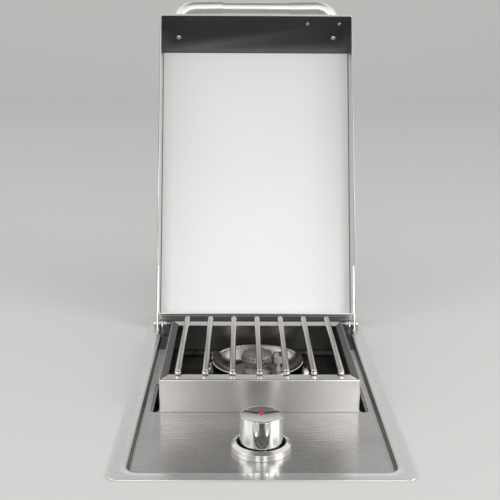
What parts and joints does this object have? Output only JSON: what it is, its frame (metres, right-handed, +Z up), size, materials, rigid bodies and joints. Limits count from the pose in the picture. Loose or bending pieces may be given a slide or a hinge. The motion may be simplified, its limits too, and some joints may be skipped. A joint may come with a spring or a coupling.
{
  "type": "built-in side burner",
  "caption": "Drop-in gas side burner for an outdoor kitchen: a pressed deck with a burner under a rod grate, a fluted control knob and a hinged lid with a bar handle.",
  "frame": {"origin": "On the underside of the hem at the front rim's middle, where the deck rests on the counter.", "axes": "+X to the right seen from the front, +Y from the front edge to the hinges, +Z up."},
  "size_m": [0.334, 0.7288, 0.6293],
  "materials": {
    "brushed_steel": "brushed stainless steel sheet",
    "polished_steel": "polished stainless steel",
    "chrome": "bright chrome plating",
    "satin_chrome": "satin chrome plating",
    "galvanised_steel": "plain zinc-coated sheet",
    "dark_steel": "dark heat-stained steel",
    "burner_cast": "cast grey metal, matt",
    "valve_cast": "die-cast aluminium",
    "brass": "turned brass",
    "black_plastic": "black heat-resisting plastic",
    "red_enamel": "red filled pointer",
    "white_ceramic": "glazed white ceramic",
    "lead_rubber": "silicone-covered ignition lead"
  },
  "bodies": {
    "deck": {"deck_plate": "brushed_steel", "burner_box": "brushed_steel", "spark_hood": "brushed_steel", "gas_tube": "brushed_steel", "pivot_lug_left": "brushed_steel", "pivot_lug_right": "brushed_steel", "grate_rod_1": "polished_steel", "grate_rod_2": "polished_steel", "grate_rod_3": "polished_steel", "grate_rod_4": "polished_steel", "grate_rod_5": "polished_steel", "grate_rod_6": "polished_steel", "grate_rod_7": "polished_steel", "burner_bracket": "polished_steel", "burner_bowl": "polished_steel", "electrode_pin": "polished_steel", "deck_screw_left": "polished_steel", "deck_screw_right": "polished_steel", "pivot_bolt_left": "polished_steel", "pivot_spacer_left": "polished_steel", "pivot_nut_left": "polished_steel", "pivot_bolt_right": "polished_steel", "pivot_spacer_right": "polished_steel", "pivot_nut_right": "polished_steel", "knob_bezel": "satin_chrome", "housing_shell": "galvanised_steel", "housing_floor": "galvanised_steel", "venturi_tube": "galvanised_steel", "air_shutter": "galvanised_steel", "valve_bracket": "galvanised_steel", "drip_tray": "dark_steel", "burner_base": "burner_cast", "burner_cap": "burner_cast", "valve_body": "valve_cast", "gas_orifice": "brass", "gas_inlet": "brass", "knob_well": "black_plastic", "piezo_igniter": "black_plastic", "electrode_ceramic": "white_ceramic", "ignition_lead": "lead_rubber"},
    "lid": {"lid_shell": "brushed_steel", "lid_liner": "brushed_steel", "handle_bar": "polished_steel", "handle_end_left": "satin_chrome", "handle_end_right": "satin_chrome", "handle_screw_left": "polished_steel", "handle_screw_right": "polished_steel", "hinge_arm_left": "brushed_steel", "hinge_arm_right": "brushed_steel", "lid_stud_1": "polished_steel", "lid_stud_2": "polished_steel"},
    "valve_plug": {"valve_plug": "brass"},
    "knob": {"knob_body": "chrome", "knob_face": "satin_chrome", "knob_pointer": "red_enamel", "valve_stem": "brass"}
  },
  "joints": [
    {"name": "lid_hinge", "type": "hinge", "parent": "deck", "child": "lid", "pos_m": [0, 0.5082, 0.0078], "axis": [1, 0, 0], "range_deg": [0, 110]},
    {"name": "knob_turn", "type": "hinge", "parent": "deck", "child": "valve_plug", "pos_m": [0, 0.0848, -0.0127], "axis": [0, 0, 1], "range_deg": [0, 210]},
    {"name": "knob_push", "type": "slide", "parent": "valve_plug", "child": "knob", "axis": [0, 0, -1], "range_m": [0, 0.0035], "stiffness_N_per_m": 1200, "springref_m": -0.006}
  ]
}
